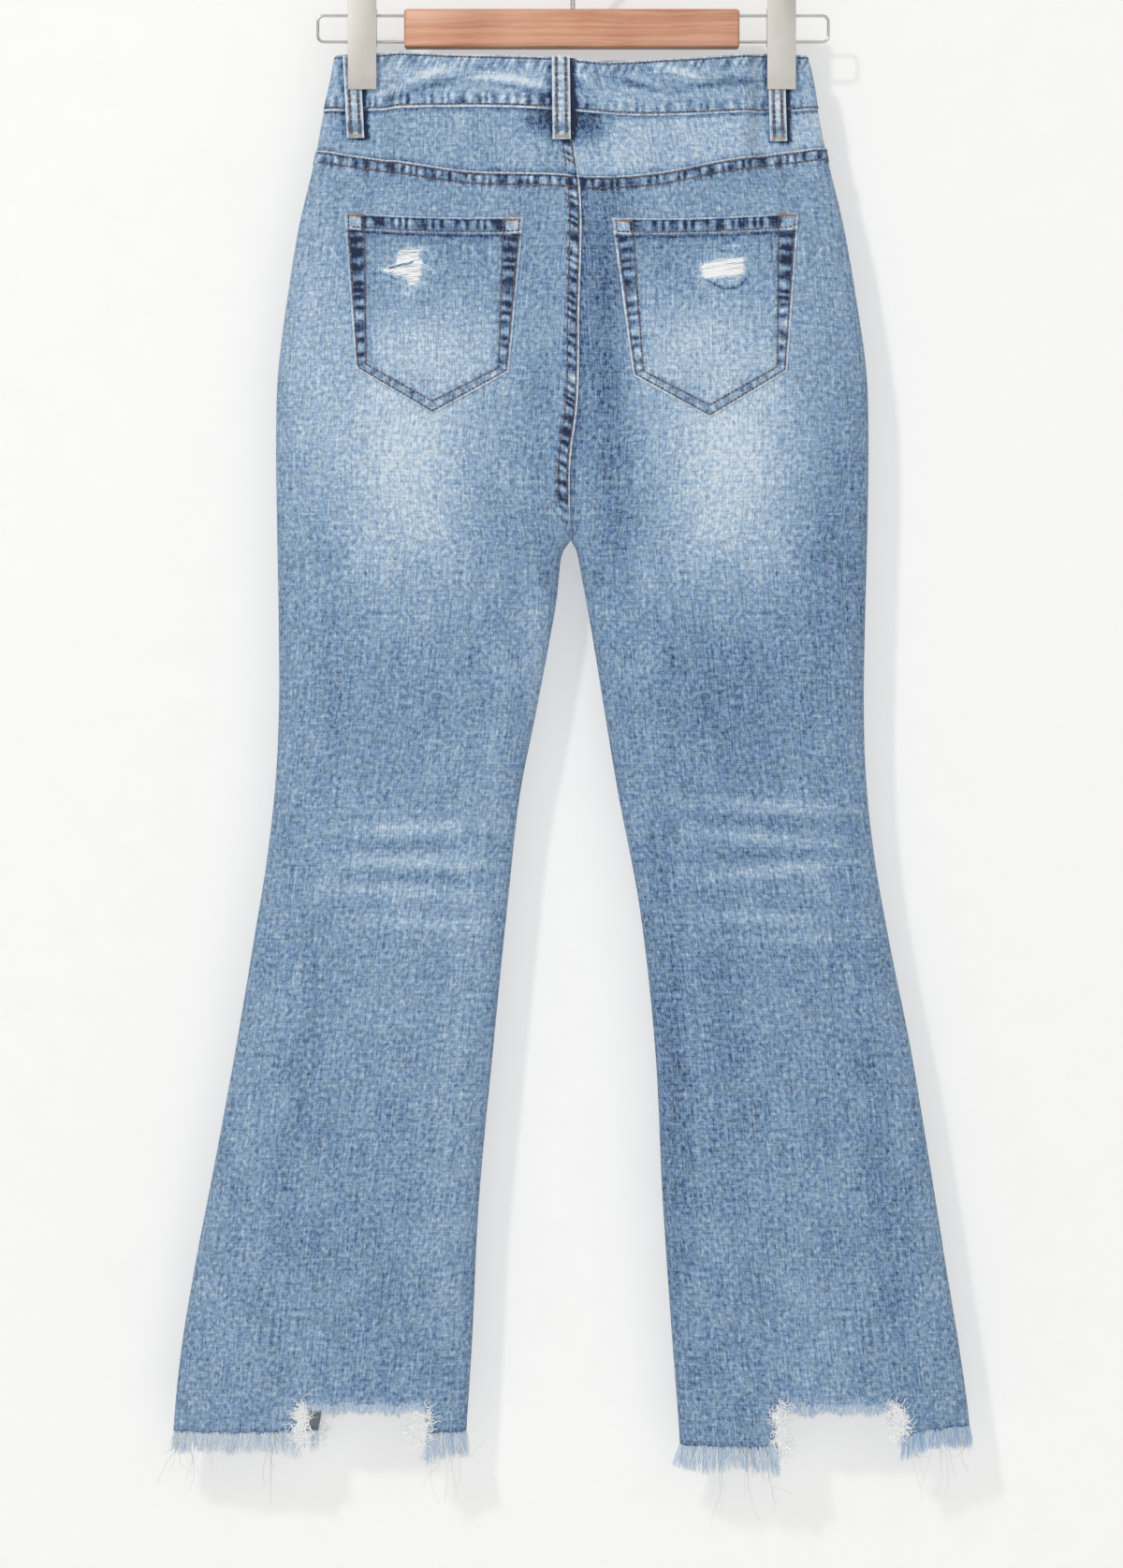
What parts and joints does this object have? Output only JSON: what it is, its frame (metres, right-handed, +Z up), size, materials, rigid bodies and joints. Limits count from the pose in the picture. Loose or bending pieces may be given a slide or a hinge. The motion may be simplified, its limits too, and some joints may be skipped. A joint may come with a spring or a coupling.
{
  "type": "flared jeans on a clip hanger",
  "caption": "High-waisted cropped flared jeans with a back yoke, patch back pockets and frayed stepped hems, hung by its waistband from a wooden hanger with metal clips.",
  "frame": {"origin": "highest point inside the hanger's hook, where a rod or peg holds it", "axes": "+Z up, -Y out of the back of the jeans towards the viewer, +X to the viewer's right"},
  "size_m": [0.5968, 0.0453, 1.1829],
  "materials": {
    "denim": "faded cotton twill",
    "loop_denim": "worn light cotton twill",
    "frayed_cotton": "loose white and blue cotton ends",
    "cherry_wood": "satin lacquer",
    "satin_steel": "satin nickel",
    "button_metal": "aged"
  },
  "bodies": {
    "root": {"back_left": "denim", "back_pocket_left": "denim", "back_pocket_right": "denim", "back_right": "denim", "belt_loop_centre": "loop_denim", "belt_loop_front_left": "loop_denim", "belt_loop_front_right": "loop_denim", "belt_loop_left": "loop_denim", "belt_loop_right": "loop_denim", "clip_left_back": "satin_steel", "clip_left_front": "satin_steel", "clip_left_spring": "satin_steel", "clip_right_back": "satin_steel", "clip_right_front": "satin_steel", "clip_right_spring": "satin_steel", "fringe_left_back_inner": "frayed_cotton", "fringe_left_back_notch": "frayed_cotton", "fringe_left_back_outer": "frayed_cotton", "fringe_left_front_inner": "frayed_cotton", "fringe_left_front_notch": "frayed_cotton", "fringe_left_front_outer": "frayed_cotton", "fringe_right_back_inner": "frayed_cotton", "fringe_right_back_notch": "frayed_cotton", "fringe_right_back_outer": "frayed_cotton", "fringe_right_front_inner": "frayed_cotton", "fringe_right_front_notch": "frayed_cotton", "fringe_right_front_outer": "frayed_cotton", "front_left": "denim", "front_right": "denim", "hanger_bar": "cherry_wood", "hanger_hook": "satin_steel", "hanger_wire_left": "satin_steel", "hanger_wire_right": "satin_steel", "hip_left": "denim", "hip_right": "denim", "waist_button": "button_metal", "waistband_left": "denim", "waistband_right": "denim", "yoke_left": "denim", "yoke_right": "denim"}
  },
  "joints": []
}
